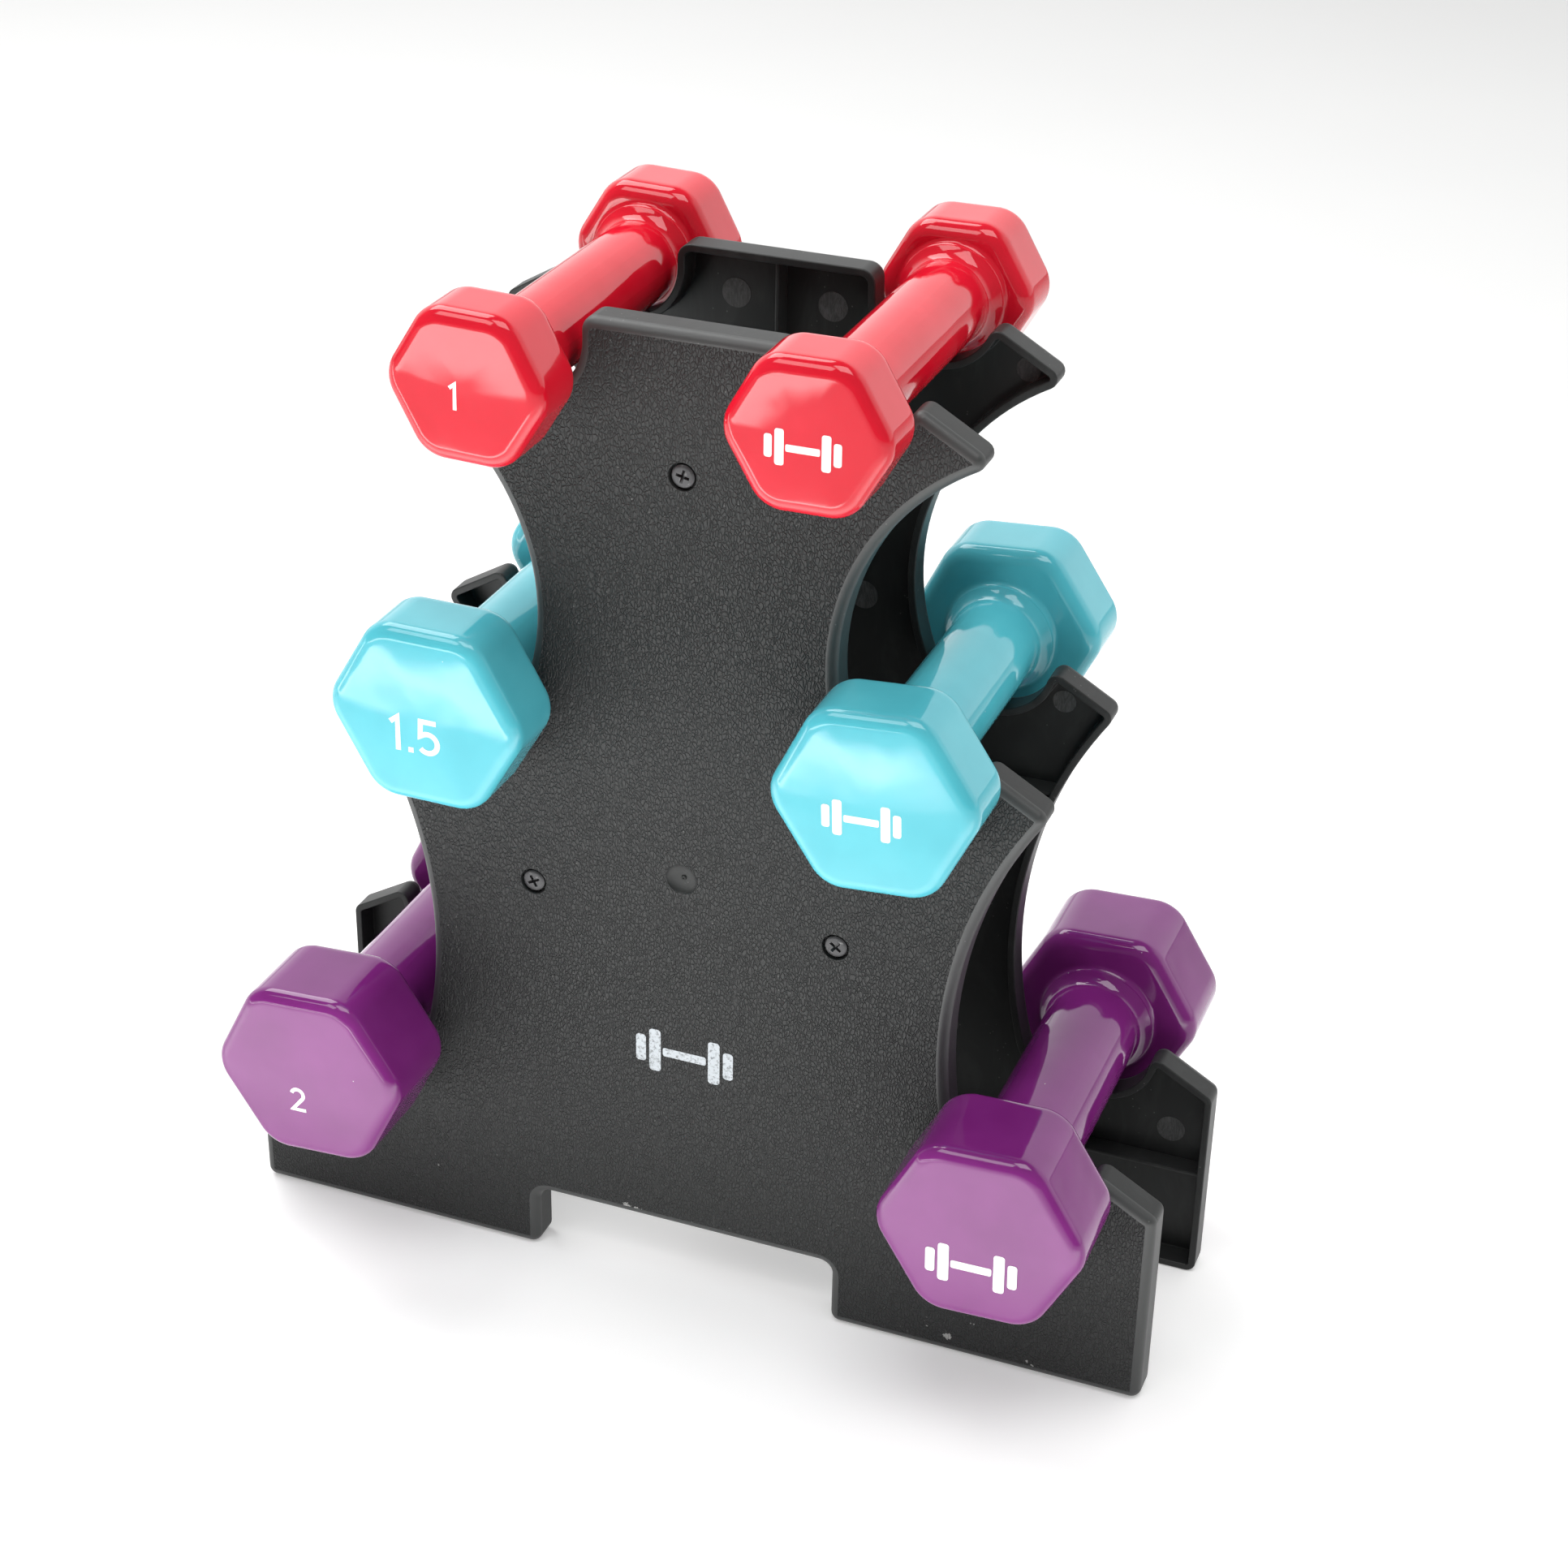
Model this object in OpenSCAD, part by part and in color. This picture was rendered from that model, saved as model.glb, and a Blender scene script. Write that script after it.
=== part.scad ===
// Three-tier dumbbell rack: two ribbed panels held apart by three spacers,
// with three pairs of vinyl-dipped hexagonal dumbbells lying in its cradles.
// X is the width, Y the depth (front panel on the -Y side), Z is up.
// The feet stand on Z = 0 and the rack is centred on the Z axis.

/* [Rack] */
// Width across the outer edges of the feet
rack_width = 330; // [322:1:345]
// Height from the floor to the top of the middle block
rack_height = 350; // [346:1:362]
// Depth over the outer faces of the two panels
rack_depth = 86; // [80:1:88]

/* [Panels] */
// Thickness of the panel plate and of its rim
wall = 2.5; // [2:0.1:3]
// Depth of the panel from its outer face to the edge of its rim
rim_depth = 11.5; // [10:0.5:13]
// Radius of the outer corners of the outline
corner_r = 3.5; // [3:0.25:4.5]
// Width of the middle block at the top
block_width = 67; // [62:1:70]
// Radius of the two corners of the middle block
block_corner_r = 5; // [4:0.5:7]
// Thickness of the stiffening ribs
rib_thickness = 1.6; // [1.2:0.1:2.4]
// Height of the lower crosswise rib above the floor
rib_low_z = 40; // [34:1:46]
// Height of the upper crosswise rib above the floor
rib_high_z = 178; // [172:1:184]

/* [Feet] */
// Width of the cut-out between the feet
foot_gap_width = 110; // [90:1:130]
// Height of the cut-out between the feet
foot_gap_height = 24; // [16:1:28]
// Height of the outer edge of a foot
foot_edge_z = 73.3; // [70:0.1:75]
// Slope of the sloping edges of the feet and the hooks
slope = 30; // [27:1:33]

/* [Cradles] */
// Radius of both sides of a cradle
cradle_r = 18; // [17.5:0.1:18.6]
// Flat width at the bottom of the upper cradle
cradle_flat1 = 3; // [1:0.1:4]
// Flat width at the bottom of the middle cradle
cradle_flat2 = 6; // [4:0.1:7]
// Flat width at the bottom of the lower cradle
cradle_flat3 = 9.8; // [8:0.1:10.5]
// Height of the lowest point of the upper cradle
cradle_z1 = 323.5; // [320:0.5:326]
// Height of the lowest point of the middle cradle
cradle_z2 = 207; // [205:0.5:209]
// Height of the lowest point of the lower cradle
cradle_z3 = 66.5; // [65:0.5:68]

/* [Fastening] */
// Height of the upper screw
screw_top_z = 304; // [296:1:308]
// Height of the two lower screws
screw_low_z = 150.7; // [140:0.1:160]
// Distance between the two lower screws
screw_span = 106.6; // [96:0.1:116]
// Diameter of the screw recess in the outer face
recess_d = 9; // [8.4:0.1:10]
// Diameter of the screw head
head_d = 7.8; // [7:0.1:8.2]
// Diameter of the screw shank
shank_d = 4; // [3.5:0.1:4.2]
// Outer diameter of a spacer
spacer_d = 20; // [16:0.5:22]

/* [Dumbbells] */
// Thickness of the vinyl coat
skin = 1.8; // [1.2:0.1:2.2]
// Head size across the flats of the upper pair
head_af1 = 47.5; // [44:0.5:50]
// Head size across the flats of the middle pair
head_af2 = 61; // [58:0.5:64]
// Head size across the flats of the lower pair
head_af3 = 63; // [59:0.5:66]
// Head length of the upper pair
head_len1 = 26; // [24:0.5:30]
// Head length of the middle pair
head_len2 = 28.5; // [26:0.5:31]
// Head length of the lower pair
head_len3 = 37.6; // [34:0.1:40]
// Handle diameter of the upper pair
grip_d1 = 27.7; // [26:0.1:28.5]
// Handle diameter of the middle pair
grip_d2 = 30; // [28:0.1:31]
// Handle diameter of the lower pair
grip_d3 = 33; // [31:0.1:34]
// Length between the heads of the upper pair
grip_len1 = 106; // [104:0.5:112]
// Length between the heads of the middle pair
grip_len2 = 100.5; // [100:0.5:108]
// Length between the heads of the lower pair
grip_len3 = 100.4; // [100:0.1:106]
// Gap left between a handle and its cradle
seat_gap = 0.3; // [0.25:0.05:0.5]

/* [Hidden] */
$fn = 64;
panel_black = [0.13, 0.135, 0.135];
screw_black = [0.08, 0.08, 0.085];
iron_grey = [0.32, 0.32, 0.33];
skin_red = [0.80, 0.05, 0.09];
skin_turquoise = [0.16, 0.66, 0.74];
skin_purple = [0.37, 0.08, 0.38];

half_w = rack_width / 2;
half_block = block_width / 2;
half_gap = foot_gap_width / 2;
gap_corner_r = 4.5;
pad_depth = 5;
recess_depth = 2.6;
collar_wall = 2;
collar_clear = 0.2;
collar_depth = rim_depth - 0.5;
collar_d = spacer_d + 2 * (collar_clear + collar_wall);
rib_depth = rim_depth - 2;
spacer_len = rack_depth - 2 * pad_depth;
pilot_depth = 18;
screw_x = screw_span / 2;
screw_spots = [[0, screw_top_z], [-screw_x, screw_low_z], [screw_x, screw_low_z]];

// The outline runs up the right half: foot, lower cradle, long hollow,
// lower hook, middle cradle, short hollow, upper hook, upper cradle, block.
up_left = [-cos(slope), sin(slope)];
out_normal = [sin(slope), cos(slope)];
hollow_r1 = 80;
hollow_c1 = [130.5, 250];
hollow_r2 = 160;
hollow_c2 = [252, 120];
hook_tip1 = [94.2, 325];
hook_tip2 = [117.2, 213.6];
foot_tip = [half_w, foot_edge_z];

// Centre of the inner side of a cradle that runs smoothly into the hollow above it
function inner_centre(c, big_r, low) =
  [c[0] - sqrt(pow(big_r - cradle_r, 2) - pow(low + cradle_r - c[1], 2)), low + cradle_r];
inner1 = [half_block + cradle_r, cradle_z1 + cradle_r];
inner2 = inner_centre(hollow_c1, hollow_r1, cradle_z2);
inner3 = inner_centre(hollow_c2, hollow_r2, cradle_z3);
outer1 = inner1 + [cradle_flat1, 0];
outer2 = inner2 + [cradle_flat2, 0];
outer3 = inner3 + [cradle_flat3, 0];

// Centre of the rounding between a sloping edge and a hollow circle
function edge_round(tip, c, r, side) =
  let (q = tip - out_normal * corner_r, f = q - c, b = f * up_left,
       s = -b + side * sqrt(b * b - f * f + pow(r + corner_r, 2)))
  q + s * up_left;
apex1 = edge_round(hook_tip1, outer1, cradle_r, -1);
apex2 = edge_round(hook_tip2, outer2, cradle_r, -1);
apex3 = edge_round(foot_tip, outer3, cradle_r, -1);
tip1 = edge_round(hook_tip1, hollow_c1, hollow_r1, 1);
tip2 = edge_round(hook_tip2, hollow_c2, hollow_r2, 1);
tip3 = [half_w - corner_r,
        (out_normal * foot_tip - corner_r - out_normal[0] * (half_w - corner_r)) / out_normal[1]];

function dir(v) = atan2(v[1], v[0]);
function arc(c, r, a, b, n) =
  [for (i = [0:n]) c + r * [cos(a + (b - a) * i / n), sin(a + (b - a) * i / n)]];

// Right half of the outline, moved inwards by d
function half_outline(d) = let (r = max(corner_r - d, 0.4), e = 90 - slope) concat(
  arc([half_gap - gap_corner_r, foot_gap_height - gap_corner_r], gap_corner_r + d, 90, 0, 4),
  arc([half_gap + corner_r, corner_r], r, 180, 270, 4),
  arc([half_w - corner_r, corner_r], r, 270, 360, 4),
  arc(tip3, r, 0, e, 3),
  arc(apex3, r, e, dir(outer3 - apex3), 4),
  arc(outer3, cradle_r + d, dir(apex3 - outer3) + 360, 270, 7),
  arc(inner3, cradle_r + d, 270, dir(inner3 - hollow_c2) + 360, 8),
  arc(hollow_c2, hollow_r2 + d, dir(inner3 - hollow_c2) + 360, dir(tip2 - hollow_c2), 12),
  arc(tip2, r, dir(hollow_c2 - tip2), e, 4),
  arc(apex2, r, e, dir(outer2 - apex2), 4),
  arc(outer2, cradle_r + d, dir(apex2 - outer2) + 360, 270, 7),
  arc(inner2, cradle_r + d, 270, dir(inner2 - hollow_c1) + 360, 7),
  arc(hollow_c1, hollow_r1 + d, dir(inner2 - hollow_c1) + 360, dir(tip1 - hollow_c1), 18),
  arc(tip1, r, dir(hollow_c1 - tip1), e, 4),
  arc(apex1, r, e, dir(outer1 - apex1), 4),
  arc(outer1, cradle_r + d, dir(apex1 - outer1) + 360, 270, 7),
  arc(inner1, cradle_r + d, 270, 180, 8),
  arc([half_block - block_corner_r, rack_height - block_corner_r],
      max(block_corner_r - d, 0.4), 0, 90, 5));

// Whole outline: the right half and its mirror image
module outline(d) {
  h = half_outline(d);
  n = len(h) - 1;
  polygon(concat(h, [for (i = [0:n]) [-h[n - i][0], h[n - i][1]]]));
}

// The panels are single mouldings, split by what each length does: face, rim, ribs and collars.
// All lie on the outer face, which is at Z = 0.
module face() {
  difference() {
    union() {
      translate([0, 0, 1.8]) linear_extrude(wall - 1.8) outline(0);
      translate([0, 0, 0.7]) linear_extrude(1.2) outline(0.5);
      linear_extrude(0.8) outline(1.5);
    }
    for (p = screw_spots) translate([p[0], p[1], 0]) {
      translate([0, 0, -1]) cylinder(h = recess_depth + 1, d = recess_d);
      cylinder(h = rim_depth, d = shank_d + 0.4);
    }
    gate_mark();
  }
}

// Wall that follows the outline behind the face
module rim() {
  translate([0, 0, wall]) linear_extrude(rim_depth - wall) difference() {
    outline(0);
    outline(wall);
  }
}

// Ribs between the rim's sides, cut clear of the collars
module ribs() {
  translate([0, 0, wall]) linear_extrude(rib_depth - wall) difference() {
    intersection() {
      outline(wall);
      union() {
        translate([-rib_thickness / 2, 0]) square([rib_thickness, rack_height]);
        for (z = [rib_low_z, rib_high_z])
          translate([-half_w, z - rib_thickness / 2]) square([rack_width, rib_thickness]);
      }
    }
    for (p = screw_spots) translate(p) circle(d = collar_d);
  }
}

// Socket for a spacer's end, with the pad that its screw pulls on
module collar(p) {
  translate([p[0], p[1], 0]) difference() {
    translate([0, 0, wall]) cylinder(h = collar_depth - wall, d = collar_d);
    translate([0, 0, pad_depth]) cylinder(h = rim_depth, d = spacer_d + 2 * collar_clear);
    translate([0, 0, -1]) cylinder(h = recess_depth + 1, d = recess_d);
    cylinder(h = rim_depth, d = shank_d + 0.4);
  }
}

// Shallow dish with a small nub where the moulding was fed
module gate_mark() {
  translate([0, screw_low_z + 13, -0.01]) difference() {
    cylinder(h = 0.9, d1 = 11, d2 = 7);
    translate([0, 0, 0.3]) cylinder(h = 1, d = 1.4);
  }
}

module to_rear() { translate([0, rack_depth / 2, 0]) rotate([90, 0, 0]) children(); }
module to_front() { mirror([0, 1, 0]) to_rear() children(); }

module front_face() { color(panel_black) to_front() face(); }
module front_rim() { color(panel_black) to_front() rim(); }
module front_ribs() { color(panel_black) to_front() ribs(); }
module collar_front_top() { color(panel_black) to_front() collar(screw_spots[0]); }
module collar_front_left() { color(panel_black) to_front() collar(screw_spots[1]); }
module collar_front_right() { color(panel_black) to_front() collar(screw_spots[2]); }
module rear_face() { color(panel_black) to_rear() face(); }
module rear_rim() { color(panel_black) to_rear() rim(); }
module rear_ribs() { color(panel_black) to_rear() ribs(); }
module collar_rear_top() { color(panel_black) to_rear() collar(screw_spots[0]); }
module collar_rear_left() { color(panel_black) to_rear() collar(screw_spots[1]); }
module collar_rear_right() { color(panel_black) to_rear() collar(screw_spots[2]); }

// Spacer standing in the collars of both panels, with a pilot hole at each end
module spacer(p) {
  color(screw_black) translate([p[0], spacer_len / 2, p[1]]) rotate([90, 0, 0]) difference() {
    cylinder(h = spacer_len, d = spacer_d);
    for (m = [0, 1]) translate([0, 0, m * spacer_len]) mirror([0, 0, m]) {
      translate([0, 0, -1]) cylinder(h = pilot_depth + 1, d = shank_d + 0.1);
      translate([0, 0, -1]) cylinder(h = 2, d = shank_d + 1.6);
    }
  }
}
module spacer_top() { spacer(screw_spots[0]); }
module spacer_left() { spacer(screw_spots[1]); }
module spacer_right() { spacer(screw_spots[2]); }

// Pan-head screw with a cross recess; the underside of its head is at recess_depth
module screw(p) {
  head_h = 2.2;
  color(screw_black) translate([p[0], p[1], recess_depth - head_h]) difference() {
    union() {
      cylinder(h = 0.6, d1 = head_d - 1.4, d2 = head_d);
      translate([0, 0, 0.6]) cylinder(h = head_h - 0.6, d = head_d);
      cylinder(h = head_h + 16, d = shank_d);
      translate([0, 0, head_h + 16]) cylinder(h = 2, d1 = shank_d, d2 = 1.2);
    }
    for (a = [0, 90]) rotate([0, 0, a + 20]) translate([-2.2, -0.45, -0.1]) cube([4.4, 0.9, 1.4]);
  }
}
module screw_front_top() { to_front() screw(screw_spots[0]); }
module screw_front_left() { to_front() screw(screw_spots[1]); }
module screw_front_right() { to_front() screw(screw_spots[2]); }
module screw_rear_top() { to_rear() screw(screw_spots[0]); }
module screw_rear_left() { to_rear() screw(screw_spots[1]); }
module screw_rear_right() { to_rear() screw(screw_spots[2]); }

// Hexagonal slab across flats af, from z0 to z1, narrowing to af0 and af1
module hex_slab(z0, z1, af0, af1) {
  translate([0, 0, z0])
    cylinder(h = z1 - z0, r1 = af0 / 2 / cos(30), r2 = af1 / 2 / cos(30), $fn = 6);
}

// Head from its end face (z = 0) to the face by the handle (z = length)
module head(af, length) {
  intersection() {
    union() {
      hex_slab(0, 1.1, af - 6.6, af - 2.2);
      hex_slab(1.1, 3.3, af - 2.2, af);
      hex_slab(3.3, length - 4.2, af, af);
      hex_slab(length - 4.2, length - 1.4, af, af - 3.2);
      hex_slab(length - 1.4, length, af - 3.2, af - 8.4);
    }
    cylinder(h = length, r = af / 2 / cos(30) - 1.9);
  }
}

// Hollow curve between the handle and the head face, with its root going into the head
module flare(d, r, root) {
  rotate_extrude() difference() {
    translate([0, -root]) square([d / 2 + r, r + root]);
    translate([d / 2 + r, r]) circle(r = r);
  }
}

// Dumbbell along Z, centred; all its surfaces moved inwards by s
module dumbbell_form(af, head_len, d, len, s) {
  union() {
    cylinder(h = len + 2 * s + 6, d = d - 2 * s, center = true);
    for (m = [0, 1]) mirror([0, 0, m]) {
      translate([0, 0, -len / 2 - head_len + s]) head(af - 2 * s, head_len - 2 * s);
      translate([0, 0, -len / 2 - s]) flare(d - 2 * s, 5 + s / 2, 1.5);
    }
  }
}

// Sizes of the pairs, top to bottom: across flats, head, handle diameter, handle length
pairs = [[head_af1, head_len1, grip_d1, grip_len1],
         [head_af2, head_len2, grip_d2, grip_len2],
         [head_af3, head_len3, grip_d3, grip_len3]];
// Where the handles lie, from the middle of the rack
seats = [inner1[0] + 0.5, inner2[0] + 0.2, inner3[0] + 3.5];
seat_low = [cradle_z1, cradle_z2, cradle_z3];
// How each dumbbell happens to lie: shift along Y and roll, left then right
lie = [[[-5, -2], [-0.5, 0.5]], [[1.6, -0.7], [3.8, 4]], [[-1.2, 3], [1.2, 2]]];

module place(tier, side) {
  p = pairs[tier];
  l = lie[tier][side < 0 ? 0 : 1];
  translate([side * seats[tier], l[0], seat_low[tier] + p[2] / 2 + seat_gap])
    rotate([90, 0, 0]) rotate([0, 0, l[1]]) children();
}
module form(tier, s) {
  p = pairs[tier];
  dumbbell_form(p[0], p[1], p[2], p[3], s);
}
module core(tier, side) { color(iron_grey) place(tier, side) form(tier, skin); }

// The vinyl coat comes in three lengths that meet at the heads' inner faces:
// the front head (end = 1), the grip (end = 0) and the rear head (end = -1)
module coat(tier, side, end, tint) {
  p = pairs[tier];
  color(tint) place(tier, side) difference() {
    if (end == 0) coat_grip(p[2], p[3]);
    else mirror([0, 0, end > 0 ? 1 : 0])
      translate([0, 0, -p[3] / 2 - p[1]]) head(p[0], p[1]);
    form(tier, skin);
  }
}
module coat_grip(d, len) {
  cylinder(h = len, d = d, center = true);
  for (m = [0, 1]) mirror([0, 0, m]) translate([0, 0, -len / 2]) flare(d, 5, 0);
}

module core_red_left() { core(0, -1); }
module core_red_right() { core(0, 1); }
module core_turquoise_left() { core(1, -1); }
module core_turquoise_right() { core(1, 1); }
module core_purple_left() { core(2, -1); }
module core_purple_right() { core(2, 1); }
module coat_red_left_front() { coat(0, -1, 1, skin_red); }
module coat_red_left_grip() { coat(0, -1, 0, skin_red); }
module coat_red_left_rear() { coat(0, -1, -1, skin_red); }
module coat_red_right_front() { coat(0, 1, 1, skin_red); }
module coat_red_right_grip() { coat(0, 1, 0, skin_red); }
module coat_red_right_rear() { coat(0, 1, -1, skin_red); }
module coat_turquoise_left_front() { coat(1, -1, 1, skin_turquoise); }
module coat_turquoise_left_grip() { coat(1, -1, 0, skin_turquoise); }
module coat_turquoise_left_rear() { coat(1, -1, -1, skin_turquoise); }
module coat_turquoise_right_front() { coat(1, 1, 1, skin_turquoise); }
module coat_turquoise_right_grip() { coat(1, 1, 0, skin_turquoise); }
module coat_turquoise_right_rear() { coat(1, 1, -1, skin_turquoise); }
module coat_purple_left_front() { coat(2, -1, 1, skin_purple); }
module coat_purple_left_grip() { coat(2, -1, 0, skin_purple); }
module coat_purple_left_rear() { coat(2, -1, -1, skin_purple); }
module coat_purple_right_front() { coat(2, 1, 1, skin_purple); }
module coat_purple_right_grip() { coat(2, 1, 0, skin_purple); }
module coat_purple_right_rear() { coat(2, 1, -1, skin_purple); }

front_face();
front_rim();
front_ribs();
collar_front_top();
collar_front_left();
collar_front_right();
rear_face();
rear_rim();
rear_ribs();
collar_rear_top();
collar_rear_left();
collar_rear_right();
spacer_top();
spacer_left();
spacer_right();
screw_front_top();
screw_front_left();
screw_front_right();
screw_rear_top();
screw_rear_left();
screw_rear_right();
core_red_left();
core_red_right();
core_turquoise_left();
core_turquoise_right();
core_purple_left();
core_purple_right();
coat_red_left_front();
coat_red_left_grip();
coat_red_left_rear();
coat_red_right_front();
coat_red_right_grip();
coat_red_right_rear();
coat_turquoise_left_front();
coat_turquoise_left_grip();
coat_turquoise_left_rear();
coat_turquoise_right_front();
coat_turquoise_right_grip();
coat_turquoise_right_rear();
coat_purple_left_front();
coat_purple_left_grip();
coat_purple_left_rear();
coat_purple_right_front();
coat_purple_right_grip();
coat_purple_right_rear();
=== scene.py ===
"""Looks of the dumbbell rack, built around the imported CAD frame.

Lengths in the shape functions are millimetres; MM turns them into metres when
a mesh is made. Everything sits in the frame of the CAD model.
"""
import math
from collections import namedtuple

import bmesh
import bpy
from mathutils import Matrix, Vector


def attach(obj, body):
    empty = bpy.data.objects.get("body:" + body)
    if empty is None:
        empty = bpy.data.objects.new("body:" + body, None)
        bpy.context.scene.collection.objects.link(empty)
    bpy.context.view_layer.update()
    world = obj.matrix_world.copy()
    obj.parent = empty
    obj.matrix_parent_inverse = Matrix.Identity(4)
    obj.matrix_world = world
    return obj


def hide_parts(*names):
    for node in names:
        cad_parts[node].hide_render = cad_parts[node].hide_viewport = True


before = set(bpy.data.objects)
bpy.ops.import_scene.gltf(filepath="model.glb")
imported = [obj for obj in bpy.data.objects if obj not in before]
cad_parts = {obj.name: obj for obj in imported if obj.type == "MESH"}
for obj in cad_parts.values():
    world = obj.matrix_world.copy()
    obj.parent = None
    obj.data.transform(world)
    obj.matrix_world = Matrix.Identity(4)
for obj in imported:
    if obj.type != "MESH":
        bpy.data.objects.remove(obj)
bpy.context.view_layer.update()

MM = 0.001
TAU = 2 * math.pi

# ---------------------------------------------------------------- dimensions
HALF_W, HEIGHT, HALF_DEPTH = 165.0, 350.0, 43.0
WALL, RIM, FILLET = 2.5, 11.5, 3.2
CORNER_R, BLOCK_HALF, BLOCK_R = 3.5, 33.5, 5.0
HALF_GAP, GAP_HEIGHT, GAP_R = 55.0, 24.0, 4.5
FOOT_EDGE_Z, SLOPE = 73.3, 30.0
CRADLE_R, CRADLE_FLATS = 18.0, (3.0, 6.0, 9.8)
CRADLE_LOW = (323.5, 207.0, 66.5)
HOLLOW_R1, HOLLOW_C1 = 80.0, (130.5, 250.0)
HOLLOW_R2, HOLLOW_C2 = 160.0, (252.0, 120.0)
HOOK_TIP1, HOOK_TIP2 = (94.2, 325.0), (117.2, 213.6)
SCREWS = {"top": (0.0, 304.0), "left": (-53.3, 150.7), "right": (53.3, 150.7)}
RIBS = ((40.0, 163.8), (178.0, 101.7))  # level ribs: height, half length
RIB_END = 1.2  # how far the upright rib stops short of the outline
RECESS_D, RECESS_DEPTH, PAD_DEPTH = 9.0, 2.6, 5.0
COLLAR_R, BORE_R = 12.2, 10.2
DISH_AT, DISH_R = (0.0, 163.7), 5.5
SCUFFS = ((-0.0205, -0.043, 0.0272), (-0.0165, -0.043, 0.0262), (0.098, -0.043, 0.0068))
PIN_MARKS = ((16.5, 333.0, 5.0), (-16.5, 333.0, 5.0), (82.0, 322.0, 4.0), (-82.0, 322.0, 4.0),
             (101.0, 209.5, 4.0), (-101.0, 209.5, 4.0), (150.0, 52.0, 5.0), (-150.0, 52.0, 5.0),
             (66.0, 75.0, 5.0), (-66.0, 75.0, 5.0), (30.0, 235.0, 5.0), (-30.0, 235.0, 5.0))

# flats and corner: width across flats and vertex rounding; x and z: the handle's axis;
# lies: shift along Y and roll in degrees, of the left dumbbell and of the right one
Pair = namedtuple("Pair", "flats head_len grip_d grip_len x z lies corner")
PAIRS = {
    "red": Pair(47.5, 26.0, 27.7, 106.0, 52.0, 337.65, ((-5.0, -2.0), (-0.5, 0.5)), 11.5),
    "turquoise": Pair(61.0, 28.5, 30.0, 100.5, 74.02, 222.3, ((1.6, -0.7), (3.8, 4.0)), 12.5),
    "purple": Pair(63.0, 37.6, 33.0, 100.4, 118.02, 83.3, ((-1.2, 3.0), (1.2, 2.0)), 13.0),
}
# numeral, its height, its place on the end face; the pictogram's width and place
MARKS = {
    "red": ("1", 8.6, (-2.5, -1.8), 24.0, (0.0, -2.8)),
    "turquoise": ("1.5", 12.6, (-2.6, -5.3), 26.0, (-2.5, -4.6)),
    "purple": ("2", 9.4, (-3.1, -8.9), 31.0, (-1.0, -10.5)),
}


# ------------------------------------------------------------ shader helpers
class Shader:
    """A material whose nodes are added by name."""

    def __init__(self, name, **settings):
        self.material = bpy.data.materials.new(name)
        self.material.use_nodes = True
        self.tree = self.material.node_tree
        self.bsdf = self.tree.nodes["Principled BSDF"]
        self.where = self.tree.nodes.new("ShaderNodeTexCoord").outputs["Object"]
        for key, value in settings.items():
            self.bsdf.inputs[key.replace("_", " ")].default_value = value

    def feed(self, socket, value):
        if isinstance(value, bpy.types.NodeSocket):
            self.tree.links.new(value, socket)
        elif value is not None:
            socket.default_value = value

    def node(self, kind, out=0, props=None, **inputs):
        made = self.tree.nodes.new("ShaderNode" + kind)
        for key, value in (props or {}).items():
            setattr(made, key, value)
        for key, value in inputs.items():
            key = key.replace("_", " ")
            self.feed(made.inputs[int(key[1:])] if key[0] == "i" and key[1:].isdigit()
                      else made.inputs[key], value)
        return made.outputs[out]

    def math(self, operation, a, b=None, c=None, clamp=False):
        return self.node("Math", props={"operation": operation, "use_clamp": clamp},
                         i0=a, i1=b, i2=c)

    def stretch(self, x, y, z, shift=(0, 0, 0)):
        return self.node("Mapping", Vector=self.where, Scale=(x, y, z), Location=shift)

    def noise(self, scale, detail=2.0, rough=0.5, where=None, distort=0.0):
        return self.node("TexNoise", Vector=where or self.where, Scale=scale, Detail=detail,
                         Roughness=rough, Distortion=distort)

    def span(self, value, low, high, to_low, to_high):
        return self.node("MapRange", props={"clamp": True}, i0=value, i1=low, i2=high,
                         i3=to_low, i4=to_high)

    def blend(self, share, a, b, mode="MIX"):
        """Mixes two colours."""
        mix = self.tree.nodes.new("ShaderNodeMix")
        mix.data_type, mix.blend_type = "RGBA", mode
        self.feed(mix.inputs[0], share)
        self.feed(mix.inputs[6], a)
        self.feed(mix.inputs[7], b)
        return mix.outputs[2]

    def bump(self, height, strength, distance, after=None):
        return self.node("Bump", Height=height, Strength=strength, Distance=distance,
                         Normal=after)

    def set(self, **sockets):
        for key, value in sockets.items():
            self.feed(self.bsdf.inputs[key.replace("_", " ")], value)
        return self.material


def rgb(r, g, b):
    return (r, g, b, 1.0)


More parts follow.
